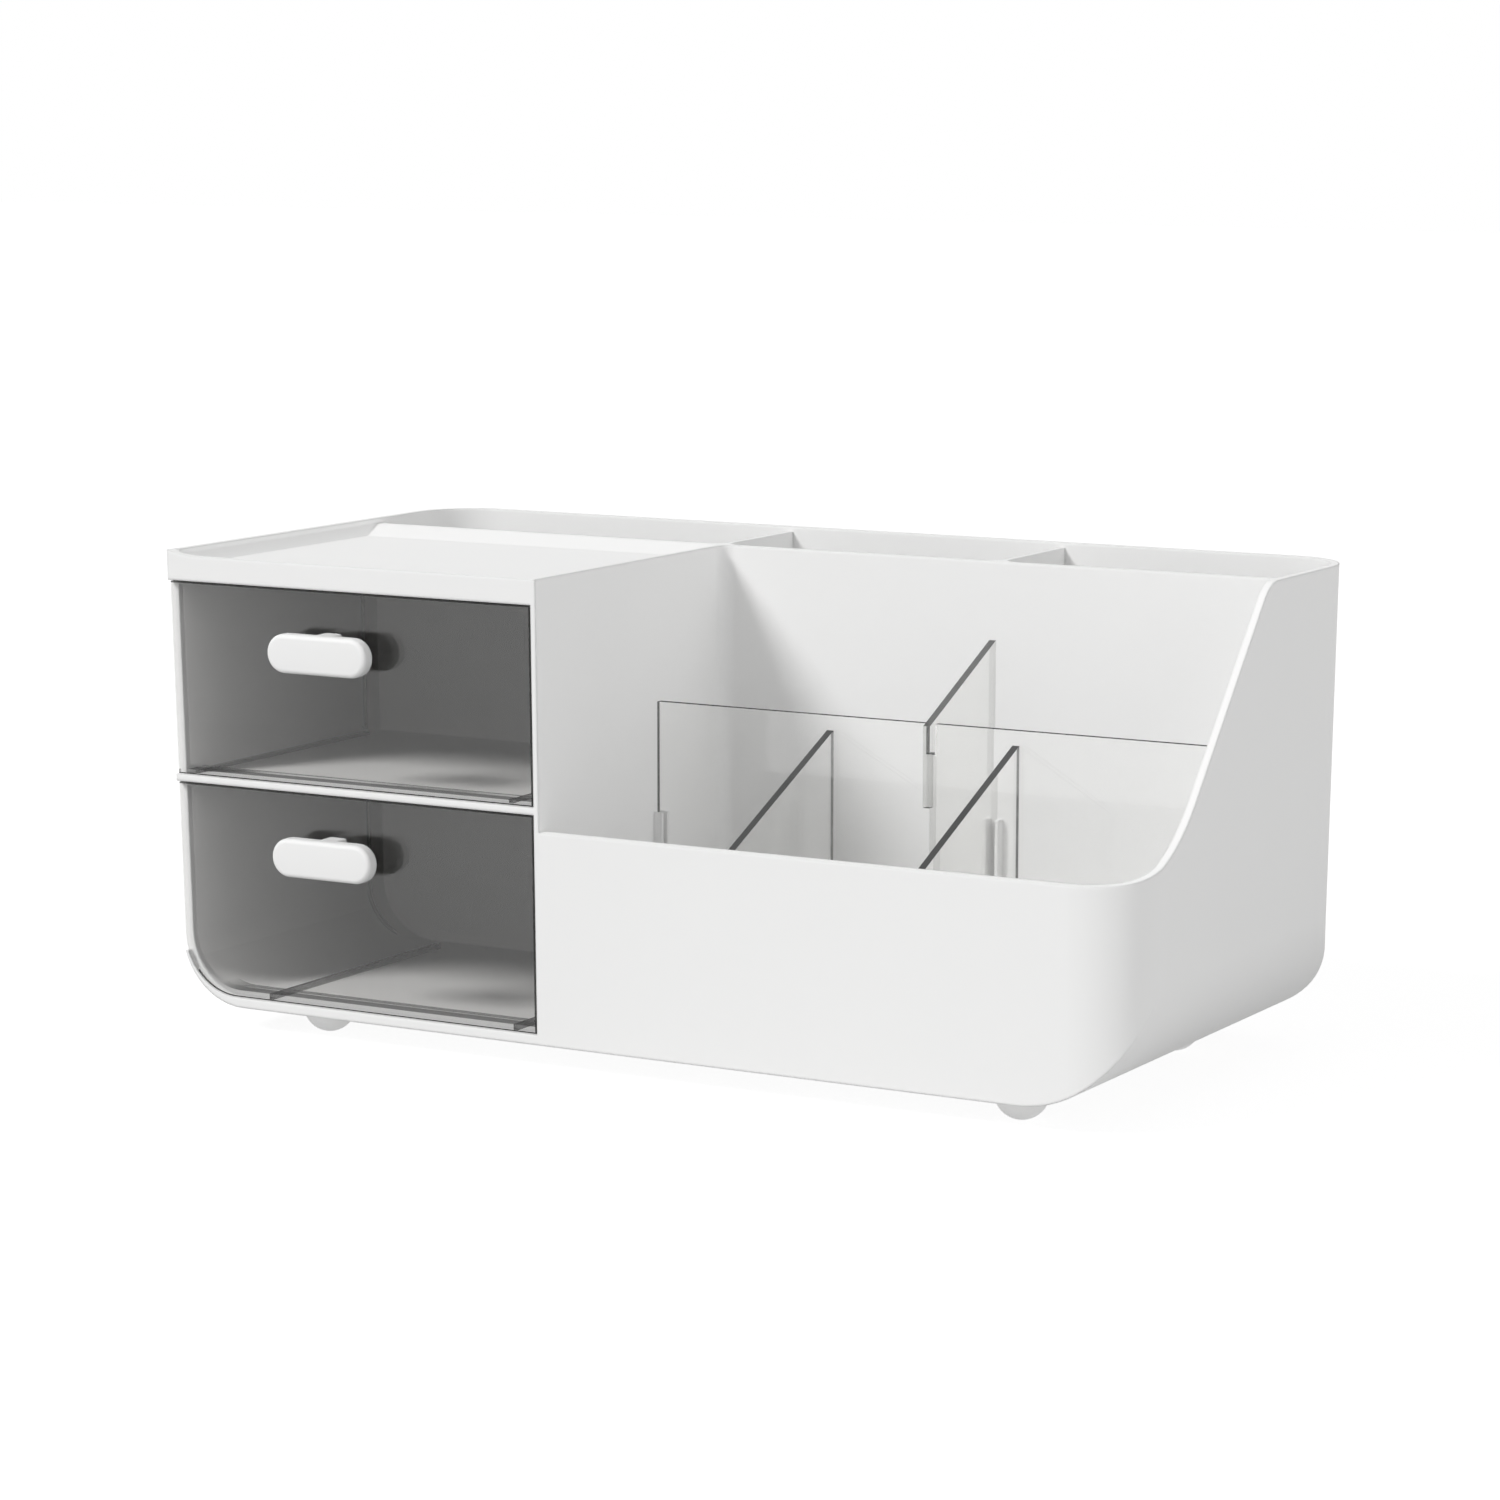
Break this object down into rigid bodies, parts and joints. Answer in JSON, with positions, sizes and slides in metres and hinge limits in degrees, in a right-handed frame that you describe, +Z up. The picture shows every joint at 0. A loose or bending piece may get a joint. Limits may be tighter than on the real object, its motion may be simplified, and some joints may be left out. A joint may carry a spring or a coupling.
{
  "type": "desk organizer with drawers",
  "caption": "White moulded desk organizer: drawer tower with clear pull-out drawers and a tray on top, open bin with lift-out clear dividers, a rear row of compartments, and ball feet.",
  "frame": {"origin": "on the resting plane under the feet, at the centre of the object's width and depth with the handles counted", "axes": "+X to the right along the long side seen from the drawers, +Y to the back, +Z up"},
  "size_m": [0.32, 0.1632, 0.1458],
  "materials": {
    "white_plastic": "fine satin moulded surface",
    "clear_plastic": "clear polished moulding",
    "handle_white": "smooth satin",
    "screw_steel": "bright zinc plated",
    "clear_divider": "clear polished sheet",
    "foot_white": "smooth satin"
  },
  "bodies": {
    "base": {"body": "white_plastic", "front_feet": "foot_white", "rear_feet": "foot_white"},
    "upper_drawer": {"upper_drawer": "clear_plastic", "upper_handle": "handle_white", "upper_handle_screw": "screw_steel"},
    "lower_drawer": {"lower_drawer": "clear_plastic", "lower_handle": "handle_white", "lower_handle_screw": "screw_steel"},
    "long_divider": {"long_divider": "clear_divider"},
    "rear_divider": {"rear_divider": "clear_divider"},
    "left_front_divider": {"left_front_divider": "clear_divider"},
    "right_front_divider": {"right_front_divider": "clear_divider"}
  },
  "joints": [
    {"name": "upper_drawer_slide", "type": "slide", "parent": "base", "child": "upper_drawer", "axis": [0, -1, 0], "range_m": [0, 0.085]},
    {"name": "lower_drawer_slide", "type": "slide", "parent": "base", "child": "lower_drawer", "axis": [0, -1, 0], "range_m": [0, 0.085]},
    {"name": "long_divider_lift", "type": "slide", "parent": "base", "child": "long_divider", "axis": [0, 0, 1], "range_m": [0, 0.07]},
    {"name": "rear_divider_lift", "type": "slide", "parent": "long_divider", "child": "rear_divider", "axis": [0, 0, 1], "range_m": [0, 0.07]},
    {"name": "left_front_divider_lift", "type": "slide", "parent": "base", "child": "left_front_divider", "axis": [0, 0, 1], "range_m": [0, 0.07]},
    {"name": "right_front_divider_lift", "type": "slide", "parent": "base", "child": "right_front_divider", "axis": [0, 0, 1], "range_m": [0, 0.07]}
  ]
}
